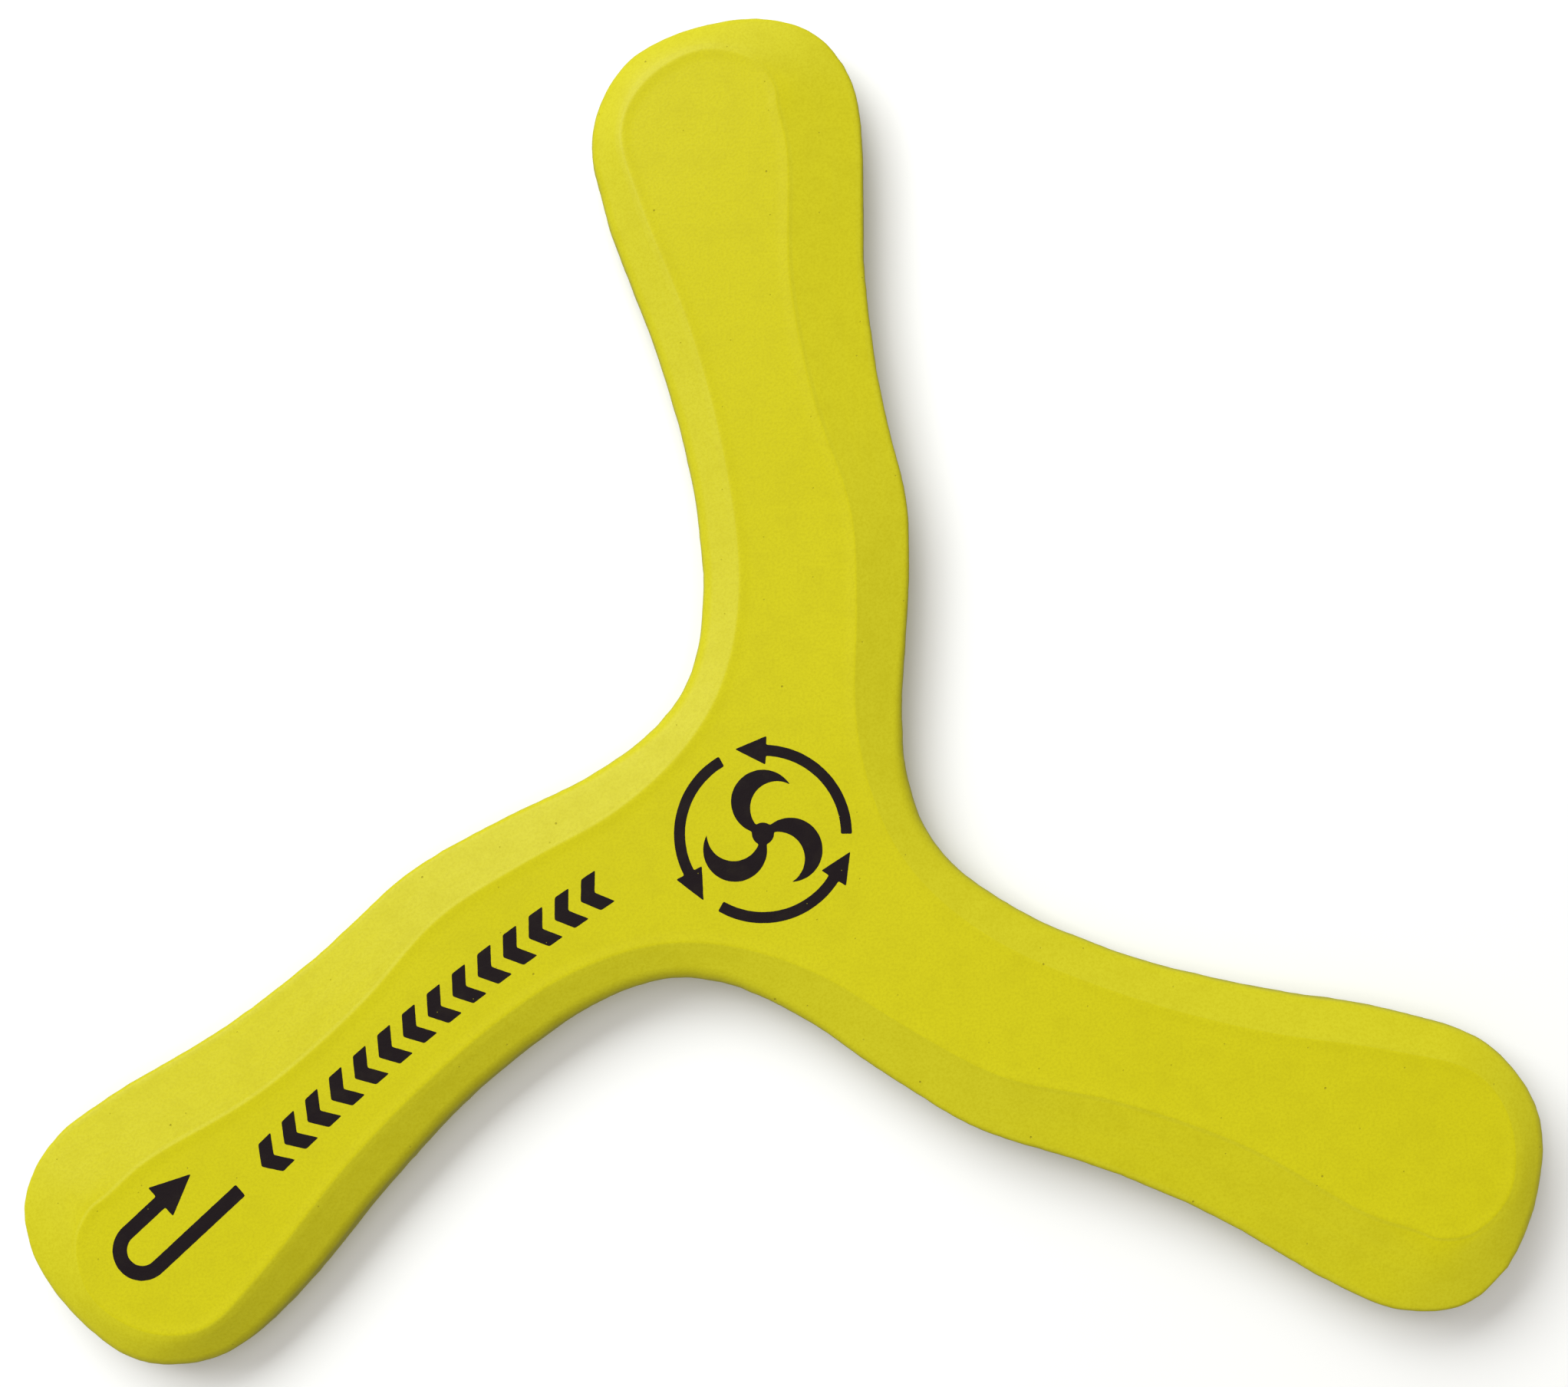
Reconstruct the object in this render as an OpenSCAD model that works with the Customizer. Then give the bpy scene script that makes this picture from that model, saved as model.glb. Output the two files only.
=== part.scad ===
// Three-bladed soft foam boomerang for a right-handed thrower, lying on its flat underside.
// The spin axis is Z, one blade points along +Y, and the underside is at Z = 0.
// All sizes are in millimetres.

/* [Blades] */
// Distance from the spin axis to the tip of a blade
tip_reach = 152; // [110:1:200]
// Thickness of the foam at its flat top
foam_t = 12; // [9:0.5:18]

/* [Bevels] */
// Depth of the bevels at the edge, as a share of the standard depth
bevel_depth = 1; // [0.4:0.05:1.2]
// Width of the bevels, as a share of the standard width
bevel_width = 1; // [0.7:0.05:1.05]
// Radius that softens the top edge
edge_r = 1.6; // [0.6:0.1:2]

/* [Printed marks] */
// Thickness of the ink film
ink_t = 0.2; // [0.1:0.05:0.5]
// Outer radius of the spin arrows round the hub
ring_r = 16; // [13:0.5:17]
// Width of the spin arrows' line
ring_line = 2; // [1.2:0.1:3]
// Turn of each spin arrow's line, in degrees
ring_sweep = 88; // [60:1:100]
// Number of chevrons in the row on the marked blade
chevron_count = 14; // [6:1:18]
// Height of a chevron, across the blade
chevron_h = 6.6; // [4:0.2:8]
// Width of the line that draws a chevron
chevron_line = 3; // [1.4:0.1:3.6]
// Width of the line that draws the return arrow at the tip
return_line = 2.6; // [1.6:0.1:3.4]

/* [Hidden] */

BLADES = 3;
BLADE_TURN = 360 / BLADES;
STEPS = 4;
EDGE_STEPS = 2;
OVERLAP = 1;
$fn = 96;

// One blade at the standard reach, from the bay on its right, up the trailing side, round the tip
// and down the leading side. A station's third number is how far it lies below the flat top, and
// its fourth is the bevel's width there, square to the edge.
STANDARD_REACH = 152;
OUTER_EDGE = [
    [27, 6.5, 2, 6.5],
    [25, 21, 2.3, 8],
    [26.2, 41, 2.4, 9],
    [26.1, 60, 2.2, 10],
    [21.5, 80, 2.1, 12],
    [18.4, 103, 2.3, 13.5],
    [18.1, 126, 2.5, 13.5],
    [16.2, 139.3, 2.5, 14.5],
    [9.7, 148.4, 2.5, 13],
    [-1, 151.9, 2.5, 9],
    [-13, 150.6, 2.7, 5.5],
    [-26, 144.2, 2.9, 6],
    [-32.5, 131, 3.7, 5.5],
    [-29.5, 114, 3.7, 6.5],
    [-21, 91.4, 3.3, 7],
    [-14.2, 68.5, 2.9, 6.5],
    [-11.2, 45, 2.5, 6.5],
    [-13.3, 29.5, 2.2, 6]
];

// Artwork, at the standard reach: heads are sized by their line's width, petals by the pinwheel.
HEAD_WIDTH_LINES = 2.6;
HEAD_LENGTH_LINES = 2.8;
JOIN = 0.2;
MORE_THAN_HUB = 40;
PINWHEEL_R = 11.5;
PINWHEEL_DISC_R = 2;
PETAL_SHIFT = 0.22;
PETAL_LIFT = 0.4;
PETAL_CUT = 0.42;
MARKED_BLADE_TURN = 120;
ROW_MIDDLE = [2, 66];
ROW_LEAN = 9;
ROW_BEND_R = 400;
ROW_SWEEP = 10.6;
CHEVRON_SLOPE = 0.34;
RETURN_MIDDLE = [-9, 133];
RETURN_LEAN = 13;
RETURN_TURN_R = 5.4;
RETURN_OUT = 20;
RETURN_BACK = 8;

plan_scale = tip_reach / STANDARD_REACH;
STATIONS = len(OUTER_EDGE);
slab_z = foam_t - max([for (place = OUTER_EDGE) place.z]) * bevel_depth - edge_r;

// A station of this blade, or the one next to it on the blade before or after.
function station(i) =
    i < 0 ? turned(OUTER_EDGE[i + STATIONS], -BLADE_TURN) :
    i < STATIONS ? OUTER_EDGE[i] :
    turned(OUTER_EDGE[i - STATIONS], BLADE_TURN);
function inward(i) =
    let (way = plan(station(i + 1)) - plan(station(i - 1)))
    [-way.y, way.x] / norm(way);

OUTLINE = closed_curve([
    for (i = [0 : STATIONS - 1])
        concat(plan(station(i)) * plan_scale, foam_t - station(i).z * bevel_depth)
]);
CREASE = closed_curve([
    for (i = [0 : STATIONS - 1])
        concat((plan(station(i)) + inward(i) * station(i)[3]) * plan_scale, foam_t)
]);
POINTS = len(OUTLINE);
PER_BLADE = POINTS / BLADES;

function direction(angle) = [cos(angle), sin(angle)];
function plan(p) = [p.x, p.y];
function turned(p, angle) = concat(p.x * direction(angle) + p.y * direction(angle + 90), p.z);
function wrapped(i, count) = (i + count) % count;

// A centripetal Catmull-Rom spline, which has no loops or overshoot between its stations.
function between(p, q, from, to, t) = (p * (to - t) + q * (t - from)) / (to - from);
function on_spline(p0, p1, p2, p3, share) =
    let (t1 = sqrt(norm(p1 - p0)), t2 = t1 + sqrt(norm(p2 - p1)), t3 = t2 + sqrt(norm(p3 - p2)))
    let (t = t1 + share * (t2 - t1))
    let (a = between(p0, p1, 0, t1, t), b = between(p1, p2, t1, t2, t))
    let (c = between(p2, p3, t2, t3, t))
    let (d = between(a, b, 0, t2, t), e = between(b, c, t1, t3, t))
    between(d, e, t1, t2, t);

// The closed curve that runs once round all the blades, from one blade's stations.
function closed_curve(stations) =
    let (all = [
        for (blade = [0 : BLADES - 1])
            for (place = stations)
                turned(place, blade * BLADE_TURN)
    ])
    let (count = len(all))
    [
        for (i = [0 : count - 1])
            for (step = [0 : STEPS - 1])
                on_spline(
                    all[wrapped(i - 1, count)],
                    all[i],
                    all[wrapped(i + 1, count)],
                    all[wrapped(i + 2, count)],
                    step / STEPS
                )
    ];

// The bevel's run in plan at one point, from the outline towards the flat top's edge.
function bevel_run(i) = plan(CREASE[i] - OUTLINE[i]) * bevel_width;
function bevel_slope(i) = atan((foam_t - OUTLINE[i].z) / norm(bevel_run(i)));

// A point above the outline, moved in towards the flat top.
function moved_in(i, inset, z) =
    concat(plan(OUTLINE[i]) + bevel_run(i) / norm(bevel_run(i)) * inset, z);

// A point some way round the softened edge, an arc that is tangent to the wall and to the bevel.
function edge_point(i, share) =
    let (slope = bevel_slope(i), turn = share * (90 - slope))
    let (rise = edge_r * (sin(turn) - tan(45 - slope / 2)))
    moved_in(i, edge_r * (1 - cos(turn)), OUTLINE[i].z + rise);

// Faces that join ring k to the ring above it.
function side_faces(k) = [
    for (i = [0 : POINTS - 1])
        let (low = k * POINTS, high = low + POINTS, next = wrapped(i + 1, POINTS))
        each [[low + i, high + i, high + next], [low + i, high + next, low + next]]
];

// A flat cap on one ring: strips across each blade, and a triangle on the hub.
function strip(right, left) =
    right + 1 < left - 1 ? [right, right + 1, left - 1, left] : [right, right + 1, left];
function cap_faces(k) =
    let (first = k * POINTS)
    let (hub = [for (blade = [0 : BLADES - 1]) blade * PER_BLADE])
    let (strips = [
        for (start = hub)
            for (i = [0 : PER_BLADE / 2 - 1])
                strip(start + i, start + PER_BLADE - i)
    ])
    [for (face = concat([hub], strips)) [for (point = face) first + point % POINTS]];

function reversed(faces) = [
    for (face = faces) [for (i = [len(face) - 1 : -1 : 0]) face[i]]
];

// The bevelled top, which reaches a little way down inside the slab to join it.
module crown() {
    around = [0 : POINTS - 1];
    rings = concat(
        [[for (i = around) moved_in(i, OVERLAP, slab_z - OVERLAP)]],
        [[for (i = around) moved_in(i, 0, slab_z)]],
        [for (step = [0 : EDGE_STEPS]) [for (i = around) edge_point(i, step / EDGE_STEPS)]],
        [[for (i = around) moved_in(i, norm(bevel_run(i)), foam_t)]]
    );
    last = len(rings) - 1;
    polyhedron(
        points = [for (ring = rings) each ring],
        faces = concat(
            cap_faces(0),
            [for (k = [0 : last - 1]) each side_faces(k)],
            reversed(cap_faces(last))
        )
    );
}

// The whole foam moulding: a slab with straight sides under a bevelled crown.
module foam_body() {
    color("yellow") {
        linear_extrude(slab_z) polygon([for (point = OUTLINE) plan(point)]);
        crown();
    }
}

// Turns ink artwork into a film that lies on the flat top.
module ink_film() {
    color("black") translate([0, 0, foam_t]) linear_extrude(ink_t) scale(plan_scale) children();
}

// A sector of the plane that is wider than any artwork, for cutting rings into arcs.
module sector(from, sweep) {
    polygon([for (share = [0, 1 / 3, 2 / 3, 1]) MORE_THAN_HUB * direction(from + sweep * share), [0, 0]]);
}

// A ring cut to an arc, which starts at an angle and sweeps counterclockwise.
module arc_line(r_out, line, from, sweep) {
    intersection() {
        difference() {
            circle(r_out);
            circle(r_out - line);
        }
        sector(from, sweep);
    }
}

// An arrow head that points along +Y, with its base just behind the origin so that it joins a line.
module arrow_head(width, length) {
    polygon([[-width / 2, -JOIN], [width / 2, -JOIN], [0, length]]);
}

// Three arrows round the hub, pointing the way that a right-hander's boomerang spins.
module spin_arrows() {
    ink_film()
        for (arrow = [0 : BLADES - 1])
            rotate(arrow * BLADE_TURN) {
                arc_line(ring_r, ring_line, 0, ring_sweep);
                rotate(ring_sweep) translate([ring_r - ring_line / 2, 0])
                    arrow_head(HEAD_WIDTH_LINES * ring_line, HEAD_LENGTH_LINES * ring_line);
            }
}

// A crescent between two circles, swept like a blade of the boomerang.
module swept_petal() {
    difference() {
        translate([0, PINWHEEL_R / 2]) circle(PINWHEEL_R / 2);
        translate([PINWHEEL_R * PETAL_SHIFT, PINWHEEL_R * PETAL_LIFT]) circle(PINWHEEL_R * PETAL_CUT);
    }
}

// The three-bladed pinwheel in the middle of the hub.
module hub_pinwheel() {
    ink_film() {
        circle(PINWHEEL_DISC_R);
        for (petal = [0 : BLADES - 1])
            rotate(petal * BLADE_TURN) swept_petal();
    }
}

// One chevron with its point towards +Y.
module chevron() {
    rise = chevron_h * CHEVRON_SLOPE;
    polygon([
        [-chevron_h / 2, 0],
        [0, rise],
        [chevron_h / 2, 0],
        [chevron_h / 2, chevron_line],
        [0, rise + chevron_line],
        [-chevron_h / 2, chevron_line]
    ]);
}

// A row of chevrons that follows the marked blade's gentle bend out towards its tip.
module blade_chevrons() {
    ink_film()
        rotate(MARKED_BLADE_TURN) translate(ROW_MIDDLE) rotate(ROW_LEAN) translate([-ROW_BEND_R, 0])
            for (i = [0 : chevron_count - 1])
                rotate((i / (chevron_count - 1) - 0.5) * ROW_SWEEP) translate([ROW_BEND_R, 0]) chevron();
}

// A line that runs out, turns round and comes back to an arrow head: the flight of a boomerang.
module tip_return_arrow() {
    head_width = HEAD_WIDTH_LINES * return_line;
    head_length = HEAD_LENGTH_LINES * return_line;
    ink_film()
        rotate(MARKED_BLADE_TURN) translate(RETURN_MIDDLE) rotate(RETURN_LEAN) {
            arc_line(RETURN_TURN_R, return_line, 0, 90);
            arc_line(RETURN_TURN_R, return_line, 90, 90);
            translate([-RETURN_TURN_R, -RETURN_OUT]) square([return_line, RETURN_OUT]);
            translate([RETURN_TURN_R - return_line, -RETURN_BACK]) square([return_line, RETURN_BACK]);
            translate([RETURN_TURN_R - return_line / 2, -RETURN_BACK]) rotate(180)
                arrow_head(head_width, head_length);
        }
}

foam_body();
spin_arrows();
hub_pinwheel();
blade_chevrons();
tip_return_arrow();
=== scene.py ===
"""Looks of a three-bladed soft foam boomerang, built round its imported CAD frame.

The foam is one lofted mesh: a rounded foot, a slightly uneven side wall, a softened edge, the
bevels and a faint raised lip along the flat top. The ink is four thin films with rounded corners.
Plans and sections are worked out in millimetres, and every object is in metres in the CAD frame.
"""

import logging
import math
from dataclasses import dataclass
from enum import Enum
from typing import Any, Callable, Sequence

import bpy
import numpy as np
from mathutils import Matrix, Vector, noise
from mathutils.geometry import tessellate_polygon


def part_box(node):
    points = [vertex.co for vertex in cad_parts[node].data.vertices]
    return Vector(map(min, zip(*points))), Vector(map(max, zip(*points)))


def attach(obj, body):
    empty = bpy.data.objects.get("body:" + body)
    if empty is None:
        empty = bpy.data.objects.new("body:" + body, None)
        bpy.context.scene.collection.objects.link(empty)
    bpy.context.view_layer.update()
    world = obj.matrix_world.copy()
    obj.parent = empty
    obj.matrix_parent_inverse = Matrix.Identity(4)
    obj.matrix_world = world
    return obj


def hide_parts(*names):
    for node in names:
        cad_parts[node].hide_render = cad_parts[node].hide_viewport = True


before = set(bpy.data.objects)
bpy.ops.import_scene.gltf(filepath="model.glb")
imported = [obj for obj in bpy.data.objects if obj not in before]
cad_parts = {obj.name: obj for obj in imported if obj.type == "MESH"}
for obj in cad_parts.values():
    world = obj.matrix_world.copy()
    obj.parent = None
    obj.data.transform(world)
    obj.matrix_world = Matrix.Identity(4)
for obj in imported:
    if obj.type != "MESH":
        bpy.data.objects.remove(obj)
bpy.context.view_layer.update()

LOG = logging.getLogger("boomerang")
BODY = "root"
MM = 0.001
BLADES = 3
BLADE_TURN = 2 * math.pi / BLADES
MARKED_BLADE_TURN = BLADE_TURN
ARC_SPACING = 0.2

Plan = Sequence[tuple[float, ...]]
Colour = tuple[float, float, float]
Array = np.ndarray

# One blade, from the bay on its right, up the trailing side, round the tip and down the leading
# side. A station's third number is how far it lies below the flat top, and its fourth is the
# bevel's width there, square to the edge.
OUTER_EDGE: Plan = (
    (27, 6.5, 2, 6.5),
    (25, 21, 2.3, 8),
    (26.2, 41, 2.4, 9),
    (26.1, 60, 2.2, 10),
    (21.5, 80, 2.1, 12),
    (18.4, 103, 2.3, 13.5),
    (18.1, 126, 2.5, 13.5),
    (16.2, 139.3, 2.5, 14.5),
    (9.7, 148.4, 2.5, 13),
    (-1, 151.9, 2.5, 9),
    (-13, 150.6, 2.7, 5.5),
    (-26, 144.2, 2.9, 6),
    (-32.5, 131, 3.7, 5.5),
    (-29.5, 114, 3.7, 6.5),
    (-21, 91.4, 3.3, 7),
    (-14.2, 68.5, 2.9, 6.5),
    (-11.2, 45, 2.5, 6.5),
    (-13.3, 29.5, 2.2, 6),
)


class Slot(Enum):
    """The record's material slots."""

    FOAM = "foam"
    INK = "ink"


# ---------------------------------------------------------------- curves and plain geometry


def smoothstep(value: Array) -> Array:
    """Eases a value from 0 to 1 with a level start and end."""
    held = np.clip(value, 0, 1)
    return held * held * (3 - 2 * held)


def turned(points: Array, angle: float) -> Array:
    """Turns plan points about the spin axis and leaves their other columns as they are.

    Args:
        points: One row per point, with x and y first.
        angle: The turn, in radians counterclockwise.

    Returns:
        The turned points.
    """
    result = points.astype(float).copy()
    x, y = points[:, 0], points[:, 1]
    result[:, 0] = x * math.cos(angle) - y * math.sin(angle)
    result[:, 1] = x * math.sin(angle) + y * math.cos(angle)
    return result


def knot_gap(near: Array, far: Array) -> Array:
    """Gives the centripetal gap between stations, from their distance in plan."""
    return np.sqrt(np.linalg.norm((far - near)[..., :2], axis=2, keepdims=True))


def between(first: Array, last: Array, low: Array | float, high: Array, t: Array) -> Array:
    """Finds what lies between two values, which stand at low and high, at t."""
    return (first * (high - t) + last * (t - low)) / (high - low)


def closed_curve(stations: Array, steps: int) -> Array:
    """Runs a centripetal Catmull-Rom spline through stations that close on themselves.

    Args:
        stations: One row per station, with x and y first.
        steps: How many points each gap between two stations gets.

    Returns:
        The curve's points, in order.
    """
    p0, p1, p2, p3 = (np.roll(stations, shift, axis=0)[:, None, :] for shift in (1, 0, -1, -2))
    t1 = knot_gap(p0, p1)
    t2 = t1 + knot_gap(p1, p2)
    t3 = t2 + knot_gap(p2, p3)
    t = t1 + (np.arange(steps) / steps)[None, :, None] * (t2 - t1)
    a, b, c = between(p0, p1, 0, t1, t), between(p1, p2, t1, t2, t), between(p2, p3, t2, t3, t)
    d, e = between(a, b, 0, t2, t), between(b, c, t1, t3, t)
    return between(d, e, t1, t2, t).reshape(-1, stations.shape[1])


def flat_top_edge(blade: Array) -> Array:
    """Works out the flat top's edge from one blade's stations.

    Args:
        blade: One row per station, with x, y, the drop and the bevel's width.

    Returns:
        The plan point that lies a bevel's width inside each station.
    """
    before = np.vstack([turned(blade[-1:], -BLADE_TURN), blade[:-1]])
    after = np.vstack([blade[1:], turned(blade[:1], BLADE_TURN)])
    way = (after - before)[:, :2]
    inward = np.column_stack([-way[:, 1], way[:, 0]]) / np.linalg.norm(way, axis=1, keepdims=True)
    return blade[:, :2] + inward * blade[:, 3:]


def smoothed(values: Array, spread: float) -> Array:
    """Evens out values that run round a closed loop.

    Args:
        values: One row per place on the loop.
        spread: The Gaussian's standard deviation, in places.

    Returns:
        The evened values.
    """
    reach = math.ceil(3 * spread)
    offsets = np.arange(-reach, reach + 1)
    weights = np.exp(-0.5 * (offsets / spread) ** 2)
    weights /= weights.sum()
    pairs = zip(weights, offsets)
    return sum(weight * np.roll(values, offset, axis=0) for weight, offset in pairs)


def rough(points: Array, size: float, layer: float) -> Array:
    """Samples smooth noise at plan points.

    Args:
        points: One row per point, in millimetres.
        size: How far apart the noise's bumps are, in millimetres.
        layer: Picks one of many unlike noises.

    Returns:
        One value per point, about -1 to 1.
    """
    rows = points if points.shape[1] > 2 else np.column_stack([points, np.zeros(len(points))])
    places = [(x / size + layer, y / size - layer, z / size) for x, y, z in rows[:, :3]]
    return np.array([noise.noise(Vector(place)) for place in places])


def top_swell(points: Array) -> Array:
    """Gives the foam's slow rise and fall across its top, in millimetres, at plan points."""
    plan = points[:, :2]
    return 0.06 * rough(plan, 26, 3.3) + 0.02 * rough(plan, 9, 8.1)


# ---------------------------------------------------------------- meshes


class Skin:
    """Collects the points and faces of one mesh."""

    def __init__(self) -> None:
        """Starts an empty mesh."""
        self.points: list[Array] = []
        self.faces: list[tuple[int, ...]] = []
        self.flat_faces: list[tuple[int, ...]] = []
        self.count = 0

    def add(self, points: Array) -> Array:
        """Adds points, one row each in millimetres, and returns their numbers."""
        self.points.append(points)
        self.count += len(points)
        return np.arange(self.count - len(points), self.count)

    def bridge(self, low: Array, high: Array) -> None:
        """Joins two rings of as many points with a band of quads that face outwards."""
        after_low, after_high = np.roll(low, -1), np.roll(high, -1)
        corners = (low, after_low, after_high, high)
        self.faces.extend(zip(*(ring.tolist() for ring in corners)))

    def lid(self, rim: Array, columns: int, shape: Callable[[Array], Array], upward: bool) -> None:
        """Closes a three-bladed ring with strips across each blade and a lattice on the hub.

        Args:
            rim: The ring's point numbers, which start in a bay.
            columns: How many faces each strip has across its blade.
            shape: Gives the points to add, with their heights, from plan points.
            upward: Whether the lid faces up.
        """
        rim_points = np.concatenate(self.points)[rim][:, :2]
        per_blade = len(rim) // BLADES
        half = per_blade // 2
        faces: list[tuple[int, ...]] = []
        shares = (np.arange(1, columns) / columns)[:, None]
        doors: list[Array] = []
        for blade in range(BLADES):
            lines: list[Array] = []
            for i in range(half):
                right, left = blade * per_blade + i, ((blade + 1) * per_blade - i) % len(rim)
                inner = rim_points[right] + (rim_points[left] - rim_points[right]) * shares
                lines.append(np.concatenate([[rim[right]], self.add(shape(inner)), [rim[left]]]))
            for near, far in zip(lines, lines[1:]):
                faces.extend(
                    (near[k], far[k], far[k + 1], near[k + 1]) for k in range(columns)
                )
            tip = rim[blade * per_blade + half]
            faces.extend((lines[-1][k], tip, lines[-1][k + 1]) for k in range(columns))
            doors.append(lines[0])
        faces.extend(self._hub(doors, columns, shape))
        for face in faces:
            whole = tuple(int(point) for point in face)
            self.faces.append(whole if upward else whole[::-1])

    def _hub(
        self, doors: list[Array], columns: int, shape: Callable[[Array], Array]
    ) -> list[tuple[int, ...]]:
        """Fills the triangle between the three blades' first strips.

        Args:
            doors: The point numbers across the foot of each blade, in turn.
            columns: How many faces each side of the triangle has.
            shape: Gives the points to add, with their heights, from plan points.

        Returns:
            The triangles' point numbers.
        """
        known = np.concatenate(self.points)[:, :2]
        a, b, c = (known[door[0]] for door in doors)
        inside = [(i, j) for i in range(1, columns) for j in range(1, columns - i)]
        plan = np.array([a + (b - a) * i / columns + (c - a) * j / columns for i, j in inside])
        number = dict(zip(inside, self.add(shape(plan))))
        for k in range(columns + 1):
            number[(k, 0)] = doors[0][k]
            number[(columns - k, k)] = doors[1][k]
            number[(0, columns - k)] = doors[2][k]
        faces = []
        for i in range(columns):
            for j in range(columns - i):
                faces.append((number[(i, j)], number[(i + 1, j)], number[(i, j + 1)]))
                if i + j + 2 <= columns:
                    faces.append((number[(i + 1, j)], number[(i + 1, j + 1)], number[(i, j + 1)]))
        return faces

    def piece(self, name: str, material: bpy.types.Material) -> bpy.types.Object:
        """Makes the object in metres, smooth shaded but for its flat faces.

        Args:
            name: The piece's name.
            material: Its material.

        Returns:
            The new object, linked to the scene.
        """
        mesh = bpy.data.meshes.new(name)
        faces = self.faces + self.flat_faces
        mesh.from_pydata((np.concatenate(self.points) * MM).tolist(), [], faces)
        mesh.polygons.foreach_set("use_smooth", [k < len(self.faces) for k in range(len(faces))])
        mesh.materials.append(material)
        made = bpy.data.objects.new(name, mesh)
        bpy.context.scene.collection.objects.link(made)
        return made


# ---------------------------------------------------------------- shader nodes


class Signal:
    """A number that varies over a surface. Arithmetic on it adds Math nodes."""

    def __init__(self, bench: "Bench", socket: bpy.types.NodeSocket) -> None:
        """Keeps the socket that gives the number."""
        self.bench = bench
        self.socket = socket

    def _math(self, operation: str, *terms: "Signal | float") -> "Signal":
        """Adds one Math node and returns what it gives."""
        made = self.bench.node(
            "ShaderNodeMath", {"operation": operation}, dict(enumerate(terms))
        )
        return Signal(self.bench, made.outputs[0])

    def __add__(self, other: "Signal | float") -> "Signal":
        """Adds a number or a signal."""
        return self._math("ADD", self, other)

    def __sub__(self, other: "Signal | float") -> "Signal":
        """Takes a number or a signal away."""
        return self._math("SUBTRACT", self, other)

    def __rsub__(self, other: float) -> "Signal":
        """Takes this signal away from a number."""
        return self._math("SUBTRACT", other, self)

    def __mul__(self, other: "Signal | float") -> "Signal":
        """Multiplies by a number or a signal."""
        return self._math("MULTIPLY", self, other)

    def __truediv__(self, other: "Signal | float") -> "Signal":
        """Divides by a number or a signal."""
        return self._math("DIVIDE", self, other)

    __radd__ = __add__
    __rmul__ = __mul__

    def __abs__(self) -> "Signal":
        """Drops the sign."""
        return self._math("ABSOLUTE", self)

    def over(self, low: float, high: float) -> "Signal":
        """Eases from 0 at one value to 1 at another.

        Args:
            low: Where the result is 0.
            high: Where the result is 1, which may be less than low.

        Returns:
            The eased signal.
        """
        made = self.bench.node(
            "ShaderNodeMapRange",
            {"interpolation_type": "SMOOTHSTEP"},
            {"Value": self, "From Min": low, "From Max": high},
        )
        return Signal(self.bench, made.outputs["Result"])


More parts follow.
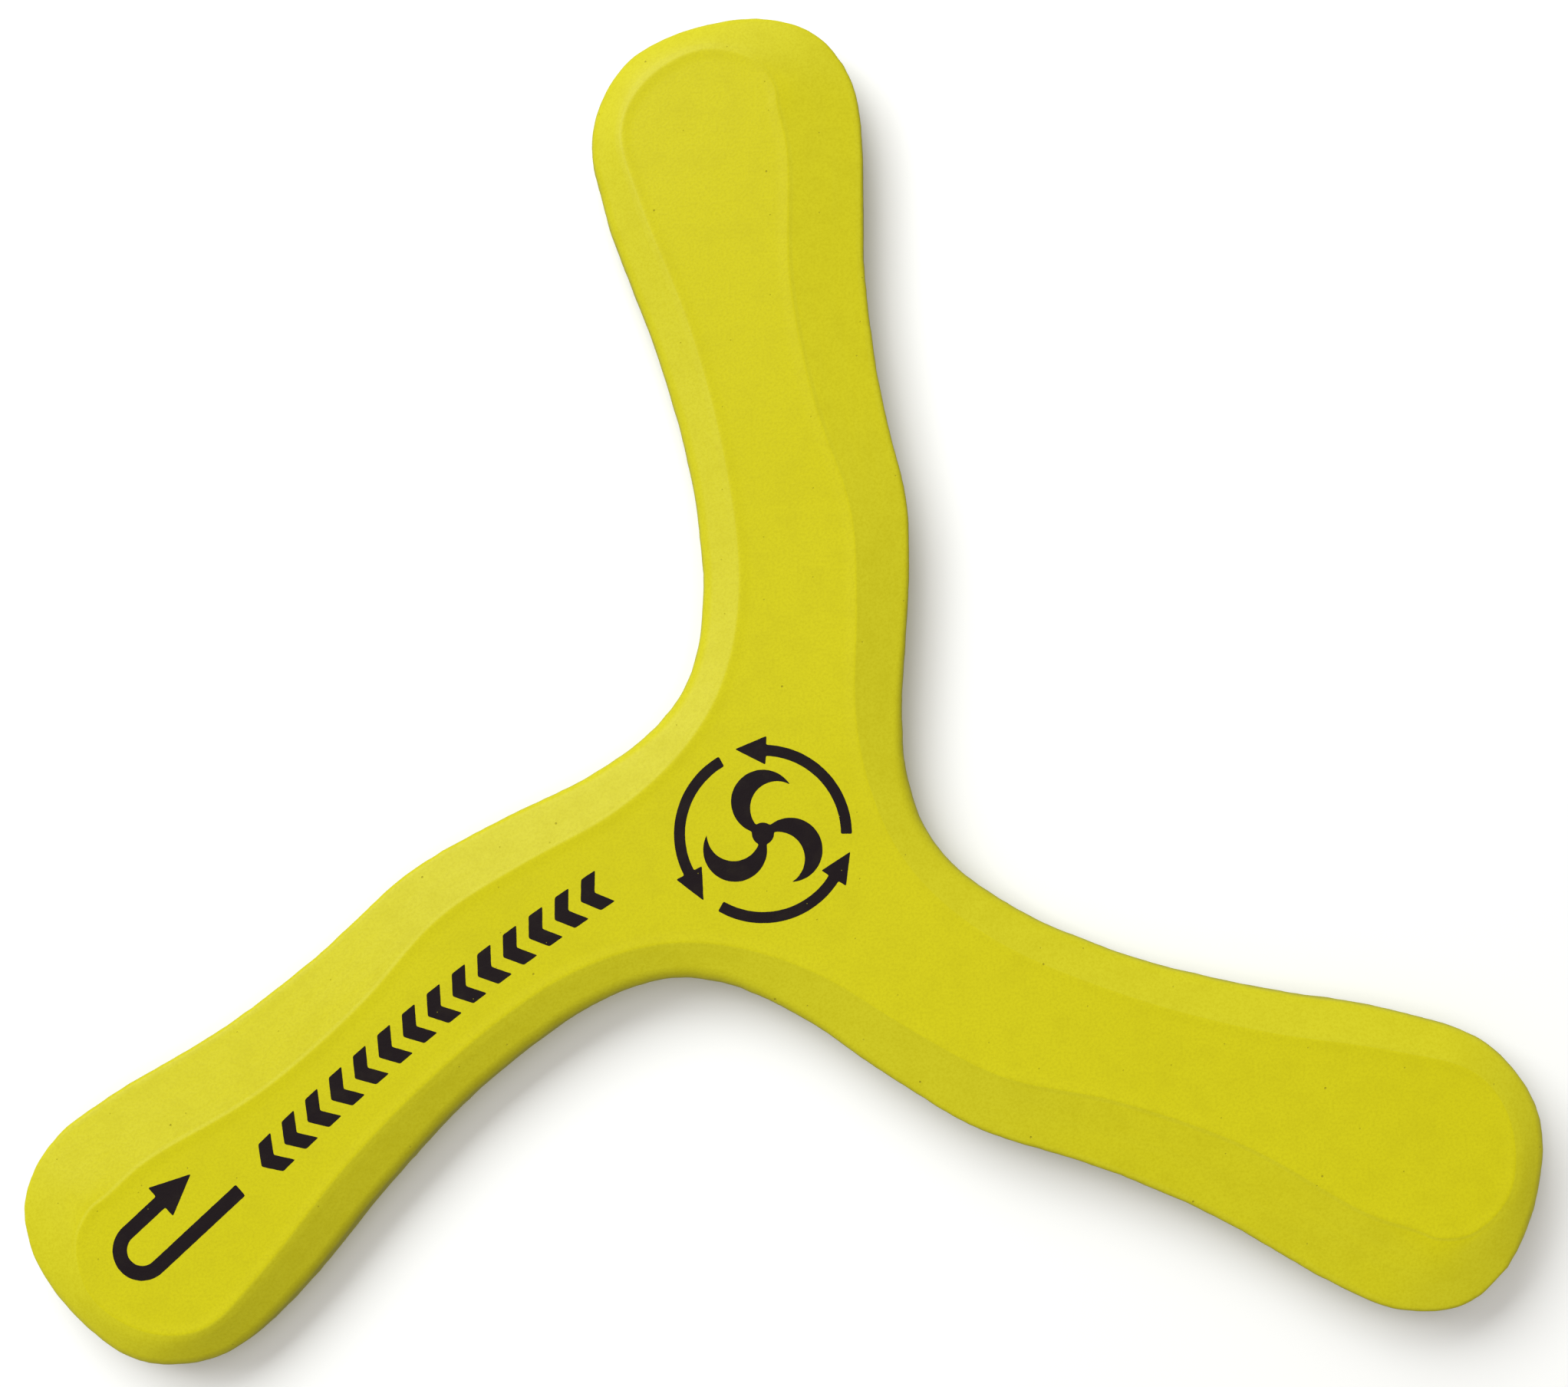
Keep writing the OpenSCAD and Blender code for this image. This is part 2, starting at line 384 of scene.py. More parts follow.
class Bench:
    """Builds one material's nodes."""

    def __init__(self, name: str) -> None:
        """Makes an empty material with a name."""
        self.material = bpy.data.materials.new(name)
        self.material.use_nodes = True
        self.tree = self.material.node_tree
        self.tree.nodes.clear()
        place = self.node("ShaderNodeTexCoord").outputs["Object"]
        self.place = self.node(
            "ShaderNodeVectorMath", {"operation": "SCALE"}, {0: place, "Scale": 1 / MM}
        ).outputs[0]

    def node(
        self,
        kind: str,
        settings: dict[str, Any] | None = None,
        inputs: dict[str | int, Any] | None = None,
    ) -> bpy.types.Node:
        """Adds one node, with its settings first and then its sockets.

        Args:
            kind: The node's type.
            settings: Its properties by name.
            inputs: Values, sockets or signals, by socket name or place.

        Returns:
            The new node.
        """
        made = self.tree.nodes.new(kind)
        for name, value in (settings or {}).items():
            setattr(made, name, value)
        for key, value in (inputs or {}).items():
            source = value.socket if isinstance(value, Signal) else value
            if isinstance(source, bpy.types.NodeSocket):
                self.tree.links.new(source, made.inputs[key])
            else:
                made.inputs[key].default_value = source
        return made

    def stretched(self, scale: Colour) -> bpy.types.NodeSocket:
        """Gives the place in millimetres, with each axis multiplied."""
        return self.node(
            "ShaderNodeVectorMath", {"operation": "MULTIPLY"}, {0: self.place, 1: scale}
        ).outputs[0]

    def grain(
        self,
        size: float,
        detail: float = 2,
        rough_share: float = 0.5,
        place: bpy.types.NodeSocket | None = None,
    ) -> Signal:
        """Gives noise from 0 to 1.

        Args:
            size: How far apart its bumps are, in millimetres.
            detail: How many finer layers it has.
            rough_share: How strong each finer layer is.
            place: The coordinates to sample, if not the plain ones.

        Returns:
            The noise.
        """
        made = self.node(
            "ShaderNodeTexNoise",
            None,
            {
                "Vector": place or self.place,
                "Scale": 1 / size,
                "Detail": detail,
                "Roughness": rough_share,
            },
        )
        return Signal(self, made.outputs[0])

    def pinholes(self, spacing: float, radius: float, share: float) -> Signal:
        """Gives sparse round spots in plan, 1 inside and 0 outside.

        Args:
            spacing: The size of the cells that may hold a spot, in millimetres.
            radius: A spot's radius, in millimetres.
            share: The share of the cells that hold one.

        Returns:
            The spots.
        """
        cells = self.node(
            "ShaderNodeTexVoronoi",
            {"voronoi_dimensions": "2D"},
            {"Vector": self.place, "Scale": 1 / spacing},
        )
        draw = self.node("ShaderNodeSeparateColor", None, {0: cells.outputs["Color"]})
        edge = radius / spacing
        near = Signal(self, cells.outputs["Distance"]).over(edge, 0.5 * edge)
        return near * Signal(self, draw.outputs[0]).over(share, share - 0.01)

    def blend(
        self, factor: Signal | float, first: Any, second: Any, kind: str = "MIX"
    ) -> bpy.types.NodeSocket:
        """Mixes two colours.

        Args:
            factor: The share of the second colour.
            first: A colour or a colour socket.
            second: A colour or a colour socket.
            kind: The Mix node's blend type.

        Returns:
            The mixed colour's socket.
        """
        made = self.node("ShaderNodeMix", {"data_type": "RGBA", "blend_type": kind})
        for key, value in (("Factor_Float", factor), ("A_Color", first), ("B_Color", second)):
            socket = next(s for s in made.inputs if s.identifier == key)
            source = value.socket if isinstance(value, Signal) else value
            if isinstance(source, bpy.types.NodeSocket):
                self.tree.links.new(source, socket)
            else:
                socket.default_value = (*source, 1) if key != "Factor_Float" else source
        return next(s for s in made.outputs if s.identifier == "Result_Color")

    def bump(self, height: Signal, distance: float, strength: float) -> bpy.types.NodeSocket:
        """Turns a height signal into a normal.

        Args:
            height: The height, from 0 to 1.
            distance: What a height of 1 stands for, in millimetres.
            strength: How much of the slope shows.

        Returns:
            The normal's socket.
        """
        return self.node(
            "ShaderNodeBump",
            None,
            {"Height": height, "Distance": distance * MM, "Strength": strength},
        ).outputs["Normal"]

    def finish(self, sockets: dict[str, Any]) -> bpy.types.Material:
        """Adds the shader and the output.

        Args:
            sockets: The shader's sockets by name.

        Returns:
            The finished material.
        """
        shader = self.node("ShaderNodeBsdfPrincipled", None, sockets)
        self.node("ShaderNodeOutputMaterial", None, {"Surface": shader.outputs[0]})
        return self.material


@dataclass(frozen=True)
class FoamFinish:
    """Bright yellow closed-cell foam with a satin moulded skin and rougher cut sides. Its colour
    holds a painted sheen on the bevels and painted shade on the side walls.
    """

    skin: Colour = (0.595, 0.55, 0.003)
    skin_deep: Colour = (0.5, 0.45, 0.002)
    skin_pale: Colour = (0.63, 0.585, 0.008)
    # painted sheen: a paler, bluer colour for the tilted bevels, standing in for their whitish
    # sheen
    bevel: Colour = (0.59, 0.552, 0.015)
    # partly painted shade: the side walls get a darker olive colour along with their cut ribs
    cut_side_and_shade: Colour = (0.41, 0.39, 0.045)
    cell_dark: Colour = (0.24, 0.18, 0.008)
    roughness: float = 0.44
    specular: float = 0.2
    cloud_size: float = 34
    mottle_size: float = 4.5
    cell_size: float = 0.5
    rib_size: float = 0.7
    rib_stretch: Colour = (0.25, 0.25, 1.6)
    bump_depth: float = 0.06
    bump_strength: float = 0.8

    def material(self) -> bpy.types.Material:
        """Builds the foam's material."""
        bench = Bench("yellow_foam_skin")
        normal = bench.node("ShaderNodeNewGeometry").outputs["Normal"]
        facing = bench.node("ShaderNodeSeparateXYZ", None, {0: normal}).outputs["Z"]
        side = abs(Signal(bench, facing)).over(0.6, 0.12)
        # mask of gently tilted faces, which carries the painted bevel sheen
        slope = abs(Signal(bench, facing)).over(0.995, 0.975)
        clouds = bench.grain(self.cloud_size)
        mottle = bench.grain(self.mottle_size, 3, 0.6)
        cells = bench.grain(self.cell_size, 2, 0.65)
        ribs = bench.grain(self.rib_size, 3, 0.65, bench.stretched(self.rib_stretch))
        holes = (bench.pinholes(8, 0.16, 0.28) * 0.6 + bench.pinholes(23, 0.22, 0.4)) * (1 - side)
        colour = bench.blend(clouds.over(0.35, 0.7) * 0.35, self.skin, self.skin_pale)
        # painted sheen: tilted faces take the paler, bluer bevel colour
        colour = bench.blend(slope * 0.9, colour, self.bevel)
        colour = bench.blend(mottle.over(0.4, 0.75) * 0.25, colour, self.skin_deep)
        colour = bench.blend(cells.over(0.35, 0.75) * 0.5, colour, self.skin_deep)
        # painted shade on the side walls, darker where the cut ribs run
        colour = bench.blend(side * (0.45 + ribs * 0.5), colour, self.cut_side_and_shade)
        colour = bench.blend(holes * 0.6, colour, self.cell_dark)
        height = cells * 0.5 + mottle * 0.5 + side * ribs * 2.5 - holes * 2
        return bench.finish(
            {
                "Base Color": colour,
                "Roughness": self.roughness + side * 0.2 + (mottle - 0.5) * 0.12,
                "Normal": bench.bump(height, self.bump_depth, self.bump_strength),
                "Specular IOR Level": self.specular,
                "Diffuse Roughness": 0.4,
            }
        )


@dataclass(frozen=True)
class InkFinish:
    """Warm black pad-printed ink that takes the foam's grain and has a few missed specks."""

    ink: Colour = (0.0095, 0.0055, 0.0068)
    ink_thin: Colour = (0.016, 0.011, 0.009)
    missed: Colour = (0.26, 0.23, 0.01)
    roughness: float = 0.56
    specular: float = 0.12

    def material(self) -> bpy.types.Material:
        """Builds the ink's material."""
        bench = Bench("warm_black_ink")
        cells = bench.grain(0.42, 2, 0.6)
        patch = bench.grain(3.2, 3, 0.6)
        specks = bench.pinholes(6.5, 0.11, 0.25)
        colour = bench.blend(patch.over(0.45, 0.75) * 0.6, self.ink, self.ink_thin)
        colour = bench.blend(specks * 0.8, colour, self.missed)
        return bench.finish(
            {
                "Base Color": colour,
                "Roughness": self.roughness + (cells - 0.5) * 0.2,
                "Normal": bench.bump(cells * 0.7 + patch * 0.4, 0.05, 0.7),
                "Specular IOR Level": self.specular,
            }
        )


@dataclass(frozen=True)
class FloorFinish:
    """Plain near-white card."""

    white: Colour = (0.93, 0.93, 0.925)
    shade: Colour = (0.9, 0.9, 0.9)
    roughness: float = 0.85
    specular: float = 0.1

    def material(self) -> bpy.types.Material:
        """Builds the floor's material."""
        bench = Bench("studio_card")
        tint = bench.blend(bench.grain(90) * 0.2, self.white, self.shade)
        return bench.finish(
            {
                "Base Color": tint,
                "Roughness": self.roughness,
                "Specular IOR Level": self.specular,
            }
        )


# ---------------------------------------------------------------- the foam moulding


@dataclass
class FoamMoulding:
    """The foam body. Sizes are in millimetres.

    A bevel's softness and edge radius run between two values as its width runs between the two in
    bevel_widths. The marks are the places where each stretch of the section is cut, ends included.
    """

    top: float
    steps: int = 17
    even_spread: float = 2.4
    foot_radius: float = 0.9
    edge_radius: float = 1
    leading_edge_radius: float = 3
    lip_height: float = 0.12
    lip_reach: float = 2.7
    lip_lead: float = 0.5
    lip_margin: float = 0.3
    furrow: float = 0.012
    furrow_run: float = 18
    wobble: float = 0.11
    wobble_reach: float = 2.5
    pit_depth: float = 0.08
    tip_bulge: float = 0.3
    tip_start: float = 134
    tip_run: float = 12
    bevel_widths: tuple[float, float] = (6.5, 9.5)
    crease_softness: tuple[float, float] = (0.95, 0.65)
    underside_inset: float = 2.6
    foot_marks: int = 5
    wall_marks: int = 8
    edge_marks: int = 6
    bevel_marks: int = 19
    crease_marks: int = 8
    lip_marks: int = 6
    columns: int = 14
    underside_columns: int = 10

    def plan(self) -> tuple[Array, Array, Array, Array]:
        """Works out the outline.

        Returns:
            The outline's points, the unit directions from it towards the flat top's edge, how far
            away that edge is, and how far below it the outline lies.
        """
        loops = []
        edge = np.array(OUTER_EDGE, float)
        for blade in (edge, flat_top_edge(edge)):
            ring = np.concatenate([turned(blade, k * BLADE_TURN) for k in range(BLADES)])
            loops.append(smoothed(closed_curve(ring, self.steps), self.even_spread))
        outline, crease = loops[0][:, :2], loops[1]
        width = np.linalg.norm(crease - outline, axis=1)
        return outline, (crease - outline) / width[:, None], width, loops[0][:, 2]

    def section(self, outline: Array, width: Array, drop: Array) -> list[tuple[Array, Array]]:
        """Works out the section all the way round, from the underside to the flat top.

        Args:
            outline: The outline's points.
            width: The bevel's width at each.
            drop: The bevel's drop at each.

        Returns:
            Rows of inset and height, one value each per outline point.
        """
        every = np.ones(len(outline))
        reach = np.linalg.norm(outline, axis=1)
        bulge = 1 + self.tip_bulge * smoothstep((reach - self.tip_start) / self.tip_run)
        slope = np.arctan(bulge * drop / width)
        soft = np.interp(width, self.bevel_widths, self.crease_softness)
        radii = (self.leading_edge_radius, self.edge_radius)
        edge = np.interp(width, self.bevel_widths, radii)

        def height(inset: Array) -> Array:
            """Gives the top surface's height at an inset."""
            left = width - inset
            eased = np.where(left > soft, left, np.maximum(left + soft, 0) ** 2 / (4 * soft))
            fall = smoothstep((self.lip_reach + left) / self.lip_reach)
            rise = smoothstep(self.lip_lead - left) * fall
            return self.top - drop * (eased / width) ** bulge + self.lip_height * rise

        rows: list[tuple[Array, Array]] = [(every * self.underside_inset, every * 0)]
        for turn in np.linspace(0, math.pi / 2, self.foot_marks):
            rows.append(
                (
                    every * self.foot_radius * (1 - math.sin(turn)),
                    every * self.foot_radius * (1 - math.cos(turn)),
                )
            )
        wall_top = self.top - drop - edge * np.tan(math.pi / 4 - slope / 2)
        for share in np.linspace(0, 1, self.wall_marks)[1:-1]:
            rows.append((every * 0, self.foot_radius + (wall_top - self.foot_radius) * share))
        start = edge * (1 - np.sin(slope))
        miss = self.top - drop + start * np.tan(slope) - height(start)
        for share in np.linspace(0, 1, self.edge_marks):
            turn = share * (math.pi / 2 - slope)
            rise = edge * np.sin(turn) - miss * share
            rows.append((edge * (1 - np.cos(turn)), wall_top + rise))
        for share in np.linspace(0, 1, self.bevel_marks)[1:]:
            inset = start + (width - soft - start) * share
            rows.append((inset, height(inset)))
        for share in np.linspace(0, 1, self.crease_marks)[1:]:
            inset = width - soft + 2 * soft * share
            rows.append((inset, height(inset)))
        for share in np.linspace(0, 1, self.lip_marks)[1:]:
            inset = width + soft + (self.lip_reach + self.lip_margin - soft) * share
            rows.append((inset, height(inset)))
        return rows

    def build(self, finish: FoamFinish) -> bpy.types.Object:
        """Builds the whole moulding.

        Args:
            finish: The foam's finish.

        Returns:
            The piece, riding on the frame.
        """
        outline, inward, width, drop = self.plan()
        skin = Skin()
        unevenness = self.wobble * (rough(outline, 6.5, 1.7) + 0.45 * rough(outline, 2.1, 5.2))
        gaps = np.linalg.norm(np.roll(outline, -1, axis=0) - outline, axis=1)
        along = np.minimum(np.cumsum(gaps), gaps.sum() - np.cumsum(gaps))
        rings = []
        for inset, height in self.section(outline, width, drop):
            fade = np.exp(-inset / self.wobble_reach)
            ring = np.column_stack([outline + inward * inset[:, None], height])
            on_wall = (inset < self.foot_radius) & (height > 0.5)
            pitted = self.pit_depth * rough(ring, 1.6, 2.9) * on_wall
            streaks = rough(np.column_stack([inset, along / self.furrow_run]), 1.3, 6.4)
            on_bevel = smoothstep((inset - 1) / 1.5) * smoothstep((width - inset) / 1.5)
            ring[:, :2] += inward * (unevenness * fade + pitted)[:, None]
            above = smoothstep((height - self.top + 6) / 4)
            ring[:, 2] += top_swell(ring) * above + self.furrow * streaks * on_bevel
            rings.append(skin.add(ring))
        for low, high in zip(rings, rings[1:]):
            skin.bridge(low, high)
        skin.lid(rings[-1], self.columns, self._top_points, True)
        skin.lid(rings[0], self.underside_columns, self._under_points, False)
        piece = skin.piece("foam_moulding", finish.material())
        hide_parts("foam_body")
        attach(piece, BODY)
        return piece

    def _top_points(self, plan: Array) -> Array:
        """Puts plan points on the flat top."""
        return np.column_stack([plan, self.top + top_swell(plan)])

    def _under_points(self, plan: Array) -> Array:
        """Puts plan points on the underside."""
        return np.column_stack([plan, np.zeros(len(plan))])


# ---------------------------------------------------------------- the printed marks


def arc(centre: tuple[float, float], radius: float, start: float, end: float) -> list[Any]:
    """Gives points along an arc.

    Args:
        centre: The arc's centre.
        radius: Its radius.
        start: Where it starts, in degrees.
        end: Where it ends, in degrees, which may be less.

    Returns:
        The points, start and end included.
    """
    count = max(3, math.ceil(abs(math.radians(end - start)) * radius / ARC_SPACING))
    angles = np.radians(np.linspace(start, end, count))
    return [(centre[0] + radius * math.cos(a), centre[1] + radius * math.sin(a)) for a in angles]


def placed(points: Any, angle: float, shift: tuple[float, float] = (0, 0)) -> Array:
    """Moves plan points and then turns them about the origin.

    Args:
        points: The points.
        angle: The turn, in degrees.
        shift: The move that comes first.

    Returns:
        The placed points.
    """
    return turned(np.array(points, float) + np.array(shift), math.radians(angle))


@dataclass
class PrintedMark:
    """A printed mark: one or more shapes in thin ink on the flat top. Sizes are in millimetres."""

    name: str
    node: str
    top: float
    film: float = 0.05
    sunk: float = 0.03
    spacing: float = 0.16
    corner: float = 0.2
    raggedness: float = 0.03
    ragged_size: float = 0.9
    edge_inset: float = 0.8
    edge_rise: float = 0.4

    def shapes(self) -> list[Array]:
        """Gives the mark's closed outlines, in the CAD frame's plan."""
        raise NotImplementedError

    def inked(self, outline: Array) -> Array:
        """Rounds an outline's corners as ink does, and roughens it very slightly.

        Args:
            outline: A closed outline's corners.

        Returns:
            Closely spaced points, counterclockwise.
        """
        closed = np.vstack([outline, outline[:1]])
        along = np.concatenate([[0], np.cumsum(np.linalg.norm(np.diff(closed, axis=0), axis=1))])
        count = max(12, round(along[-1] / self.spacing))
        places = np.arange(count) * along[-1] / count
        even = np.column_stack([np.interp(places, along, closed[:, k]) for k in (0, 1)])
        x, y = even.T
        if np.sum(x * np.roll(y, -1) - y * np.roll(x, -1)) < 0:
            even = even[::-1]
        even = smoothed(even, self.corner / self.spacing)
        ragged = self.raggedness * rough(even, self.ragged_size, 6.6)
        return even + self._outward(even) * ragged[:, None]

    @staticmethod
    def _outward(loop: Array) -> Array:
        """Gives the unit normals of a counterclockwise loop."""
        along = np.roll(loop, -1, axis=0) - np.roll(loop, 1, axis=0)
        normal = np.column_stack([along[:, 1], -along[:, 0]])
        return normal / np.linalg.norm(normal, axis=1, keepdims=True)

    def build(self, material: bpy.types.Material) -> bpy.types.Object:
        """Builds the mark as closed films with rounded edges.

        Args:
            material: The ink's material.

        Returns:
            The piece, riding on the frame.
        """
        skin = Skin()
        for outline in self.shapes():
            loop = self.inked(outline)
            inside = loop - self._outward(loop) * self.film * self.edge_inset
            shoulder = self.edge_rise * self.film
            rings = []
            for plan, rise in ((loop, -self.sunk), (loop, shoulder), (inside, self.film)):
                height = self.top + top_swell(plan) + rise
                rings.append(skin.add(np.column_stack([plan, height])))
            for low, high in zip(rings, rings[1:]):
                skin.bridge(low, high)
            self._cap(skin, rings[-1], inside, True)
            self._cap(skin, rings[0], loop, False)
        piece = skin.piece(self.name, material)
        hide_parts(self.node)
        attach(piece, BODY)
        return piece

    @staticmethod
    def _cap(skin: Skin, numbers: Array, plan: Array, upward: bool) -> None:
        """Closes one ring with triangles.

        Args:
            skin: The mesh to add to.
            numbers: The ring's point numbers.
            plan: The ring's plan points.
            upward: Whether the cap faces up.
        """
        for a, b, c in tessellate_polygon([[Vector((x, y, 0)) for x, y in plan]]):
            (ax, ay), (bx, by), (cx, cy) = plan[a], plan[b], plan[c]
            faces_up = (bx - ax) * (cy - ay) > (by - ay) * (cx - ax)
            order = (a, b, c) if faces_up == upward else (a, c, b)
            skin.flat_faces.append(tuple(int(numbers[k]) for k in order))


@dataclass
class SpinArrows(PrintedMark):
    """Three arrows round the hub, pointing the way the boomerang spins."""

    radius: float = 16
    line: float = 2
    sweep: float = 88
    head_width: float = 5.2
    head_length: float = 5.6

    def shapes(self) -> list[Array]:
        """Gives the three arrows' outlines."""
        middle = self.radius - self.line / 2
        half = self.head_width / 2
        point = [(middle + half, 0), (middle, self.head_length), (middle - half, 0)]
        head = placed(point, self.sweep)
        arrow = arc((0, 0), self.radius, 0, self.sweep)
        arrow += [tuple(corner) for corner in head]
        arrow += arc((0, 0), self.radius - self.line, self.sweep, 0)
        return [placed(arrow, k * 360 / BLADES) for k in range(BLADES)]


@dataclass
class HubPinwheel(PrintedMark):
    """A small pinwheel in the middle of the hub: three swept petals on a disc."""

    reach: float = 11.5
    disc: float = 2
    cut_shift: float = 0.22
    cut_lift: float = 0.4
    cut_share: float = 0.42

    def shapes(self) -> list[Array]:
        """Gives the pinwheel's one outline, petal by petal."""
        outer = (0.0, self.reach / 2)
        inner = (self.reach * self.cut_shift, self.reach * self.cut_lift)
        outer_r, inner_r = self.reach / 2, self.reach * self.cut_share
        root_out = self._meets((0, 0), self.disc, outer, outer_r)
        root_in = self._meets((0, 0), self.disc, inner, inner_r)
        tip = self._meets(outer, outer_r, inner, inner_r)
        next_root = placed([root_out], -360 / BLADES)[0]
        petal = self._arc_between(outer, outer_r, root_out, tip, False)
        petal += self._arc_between(inner, inner_r, tip, root_in, True)
        petal += self._arc_between((0, 0), self.disc, root_in, next_root, False)
        wheel = [placed(petal, -k * 360 / BLADES) for k in range(BLADES)]
        return [np.concatenate(wheel)]

    @staticmethod
    def _meets(a: Any, a_r: float, b: Any, b_r: float) -> Array:
        """Finds where two circles cross, on the left of the way from the first to the second.

        Args:
            a: The first circle's centre.
            a_r: Its radius.
            b: The second circle's centre.
            b_r: Its radius.

        Returns:
            The crossing.
        """
        start, gap = np.array(a, float), np.array(b, float) - np.array(a, float)
        length = float(np.linalg.norm(gap))
        along = (length**2 + a_r**2 - b_r**2) / (2 * length)
        off = math.sqrt(max(a_r**2 - along**2, 0))
        unit = gap / length
        return start + unit * along + off * np.array([-unit[1], unit[0]])

    @staticmethod
    def _arc_between(centre: Any, radius: float, start: Array, end: Array, ccw: bool) -> list[Any]:
        """Gives the points of an arc between two points on a circle.

        Args:
            centre: The circle's centre.
            radius: Its radius.
            start: The first point.
            end: The last point.
            ccw: Whether the arc runs counterclockwise.

        Returns:
            The points.
        """
        a, b = (
            math.degrees(math.atan2(point[1] - centre[1], point[0] - centre[0]))
            for point in (start, end)
        )
        turn = (b - a) % 360 if ccw else -((a - b) % 360)
        return arc(centre, radius, a, a + turn)


@dataclass
class BladeChevrons(PrintedMark):
    """A row of chevrons along the marked blade."""

    count: int = 14
    height: float = 6.6
    line: float = 3
    slope: float = 0.34
    row_middle: tuple[float, float] = (2, 66)
    row_lean: float = 9
    row_bend: float = 400
    row_sweep: float = 10.6

    def shapes(self) -> list[Array]:
        """Gives each chevron's outline."""
        half, rise = self.height / 2, self.height * self.slope
        chevron = [
            (-half, 0),
            (0, rise),
            (half, 0),
            (half, self.line),
            (0, rise + self.line),
            (-half, self.line),
        ]
        shapes = []
        for k in range(self.count):
            angle = (k / (self.count - 1) - 0.5) * self.row_sweep
            on_arc = placed(chevron, angle, (self.row_bend, 0))
            in_row = placed(on_arc, self.row_lean, (-self.row_bend, 0))
            shapes.append(placed(in_row, math.degrees(MARKED_BLADE_TURN), self.row_middle))
        return shapes


@dataclass
class TipReturnArrow(PrintedMark):
    """An arrow near the tip that runs out, turns round and comes back."""

    line: float = 2.6
    turn_radius: float = 5.4
    out: float = 20
    back: float = 8
    head_width: float = 6.76
    head_length: float = 7.28
    middle: tuple[float, float] = (-9, 133)
    lean: float = 13

    def shapes(self) -> list[Array]:
        """Gives the arrow's outline."""
        wide, narrow = self.turn_radius, self.turn_radius - self.line
        centre = self.turn_radius - self.line / 2
        half = self.head_width / 2
        outline = [(-wide, -self.out), (-narrow, -self.out)]
        outline += arc((0, 0), narrow, 180, 0)
        outline += [
            (narrow, -self.back),
            (centre - half, -self.back),
            (centre, -self.back - self.head_length),
            (centre + half, -self.back),
            (wide, -self.back),
        ]
        outline += arc((0, 0), wide, 0, 180)
        leaned = placed(outline, self.lean)
        return [placed(leaned, math.degrees(MARKED_BLADE_TURN), self.middle)]


# ---------------------------------------------------------------- the studio


@dataclass(frozen=True)
class View:
    """The camera. Distances are in millimetres and angles in degrees."""

    target: tuple[float, float, float] = (3.35, 26.24, 0)
    distance: float = 412.9
    azimuth: float = -22.55
    elevation: float = 84.89
    roll: float = -22.54
    lens: float = 51.0
    sensor: float = 36.0
    near: float = 10
    far: float = 20000

    def build(self) -> bpy.types.Object:
        """Places the camera above the blades and makes it the scene's own."""
        az, el, roll = (math.radians(a) for a in (self.azimuth, self.elevation, self.roll))
        forward = Vector((math.sin(az) * math.cos(el), math.cos(az) * math.cos(el), -math.sin(el)))
        level = Vector((math.cos(az), -math.sin(az), 0))
        raised = level.cross(forward)
        right = level * math.cos(roll) + raised * math.sin(roll)
        up = right.cross(forward)
        data = bpy.data.cameras.new("view")
        data.lens = self.lens
        data.sensor_width = self.sensor
        data.clip_start = self.near * MM
        data.clip_end = self.far * MM
        camera = bpy.data.objects.new("view", data)
        camera.matrix_world = Matrix.Translation(
            (Vector(self.target) - forward * self.distance) * MM
        ) @ Matrix((right, up, -forward)).transposed().to_4x4()
        bpy.context.scene.collection.objects.link(camera)
        bpy.context.scene.camera = camera
        return camera


@dataclass(frozen=True)
class SoftBox:
    """A rectangular soft light, aimed at the hub. Sizes are in metres and angles in degrees."""

    name: str
    azimuth: float
    elevation: float
    distance: float
    wide: float
    high: float
    power: float
    colour: Colour
    glossy: bool = True

    def build(self) -> bpy.types.Object:
        """Hangs the light and returns it."""
        az, el = math.radians(self.azimuth), math.radians(self.elevation)
        towards = Vector((math.cos(az) * math.cos(el), math.sin(az) * math.cos(el), math.sin(el)))
        data = bpy.data.lights.new(self.name, "AREA")
        data.shape = "RECTANGLE"
        data.size = self.wide
        data.size_y = self.high
        data.energy = self.power
        data.color = self.colour
        light = bpy.data.objects.new(self.name, data)
        light.location = towards * self.distance
        light.rotation_euler = towards.to_track_quat("Z", "Y").to_euler()
        light.visible_glossy = self.glossy
        bpy.context.scene.collection.objects.link(light)
        return light


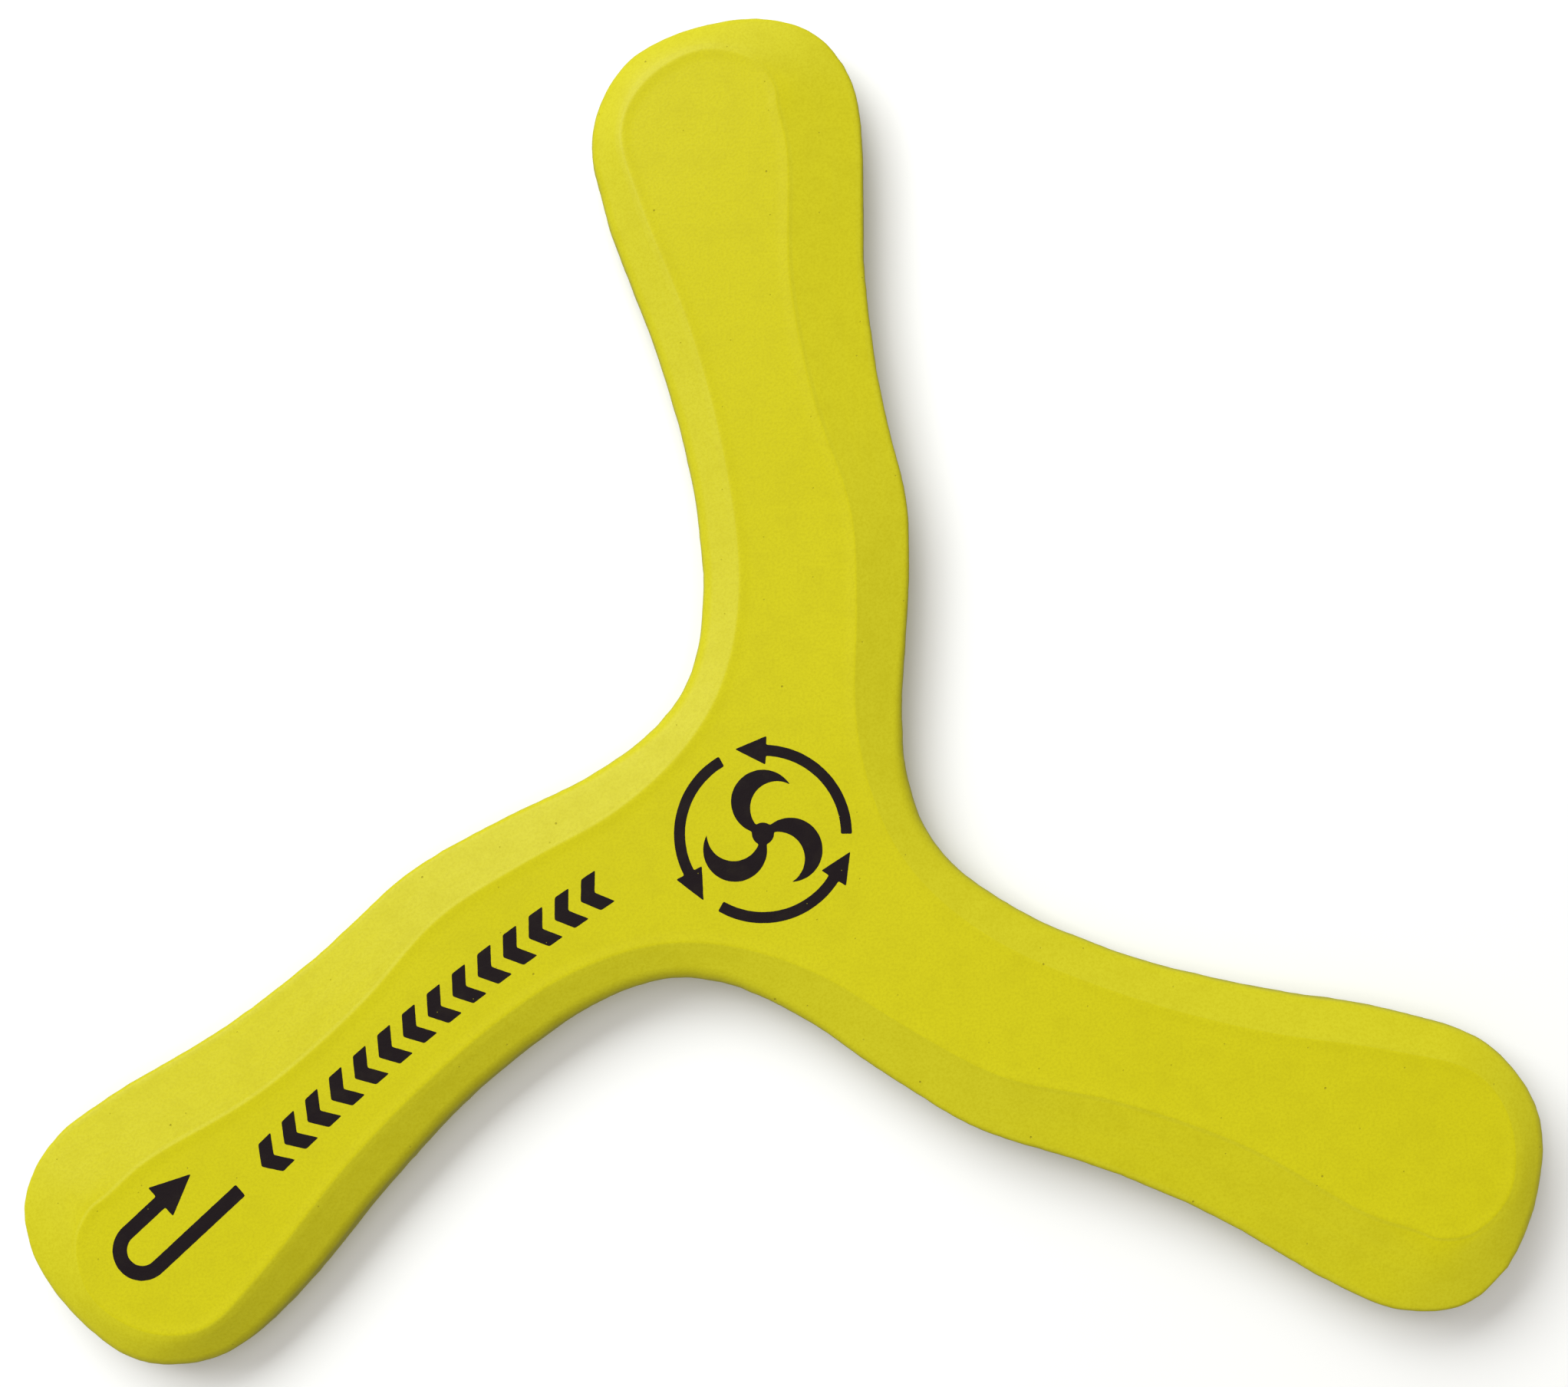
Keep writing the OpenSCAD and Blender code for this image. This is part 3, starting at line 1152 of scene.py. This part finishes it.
@dataclass(frozen=True)
class Studio:
    """A pale floor, a wide key light, a ceiling light without glare and an even surround."""

    floor_size: float = 8.0
    floor_drop: float = 0.0002
    key_azimuth: float = 130
    key_elevation: float = 42
    key_distance: float = 1.4
    key_wide: float = 1.5
    key_high: float = 0.8
    key_power: float = 22
    key_colour: Colour = (0.97, 1.0, 0.99)
    ceiling_distance: float = 1.5
    ceiling_size: float = 1.4
    ceiling_power: float = 8
    ceiling_colour: Colour = (1.0, 0.98, 0.95)
    surround: Colour = (0.32, 0.31, 0.3)

    def build(self) -> None:
        """Builds the floor, the lights and the surround, and sets plain display colours."""
        self._floor()
        SoftBox(
            "key",
            self.key_azimuth,
            self.key_elevation,
            self.key_distance,
            self.key_wide,
            self.key_high,
            self.key_power,
            self.key_colour,
        ).build()
        SoftBox(
            "ceiling",
            0,
            90,
            self.ceiling_distance,
            self.ceiling_size,
            self.ceiling_size,
            self.ceiling_power,
            self.ceiling_colour,
            glossy=False,
        ).build()
        world = bpy.data.worlds.new("surround")
        world.use_nodes = True
        world.node_tree.nodes["Background"].inputs["Color"].default_value = (*self.surround, 1)
        world.node_tree.nodes["Background"].inputs["Strength"].default_value = 1
        bpy.context.scene.world = world
        bpy.context.scene.view_settings.view_transform = "Standard"

    def _floor(self) -> None:
        """Lays the floor just under the foam."""
        half = self.floor_size / 2
        corners = [(-half, -half), (half, -half), (half, half), (-half, half)]
        mesh = bpy.data.meshes.new("floor")
        mesh.from_pydata([(x, y, -self.floor_drop) for x, y in corners], [], [(0, 1, 2, 3)])
        mesh.materials.append(FloorFinish().material())
        floor = bpy.data.objects.new("floor", mesh)
        bpy.context.scene.collection.objects.link(floor)
        floor.visible_diffuse = False
        floor.visible_glossy = False


def main() -> None:
    """Builds the boomerang and its studio."""
    logging.basicConfig(level=logging.INFO, format="%(message)s")
    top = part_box("foam_body")[1].z / MM
    pieces = [FoamMoulding(top).build(FoamFinish())]
    ink = InkFinish().material()
    for mark in (
        SpinArrows("ink_spin_arrows", "spin_arrows", top),
        HubPinwheel("ink_hub_pinwheel", "hub_pinwheel", top),
        BladeChevrons("ink_blade_chevrons", "blade_chevrons", top),
        TipReturnArrow("ink_tip_return_arrow", "tip_return_arrow", top),
    ):
        pieces.append(mark.build(ink))
    for piece in pieces:
        mesh = piece.data
        LOG.info("%s: %d points, %d faces", piece.name, len(mesh.vertices), len(mesh.polygons))
    Studio().build()
    View().build()


if __name__ == "__main__":
    main()
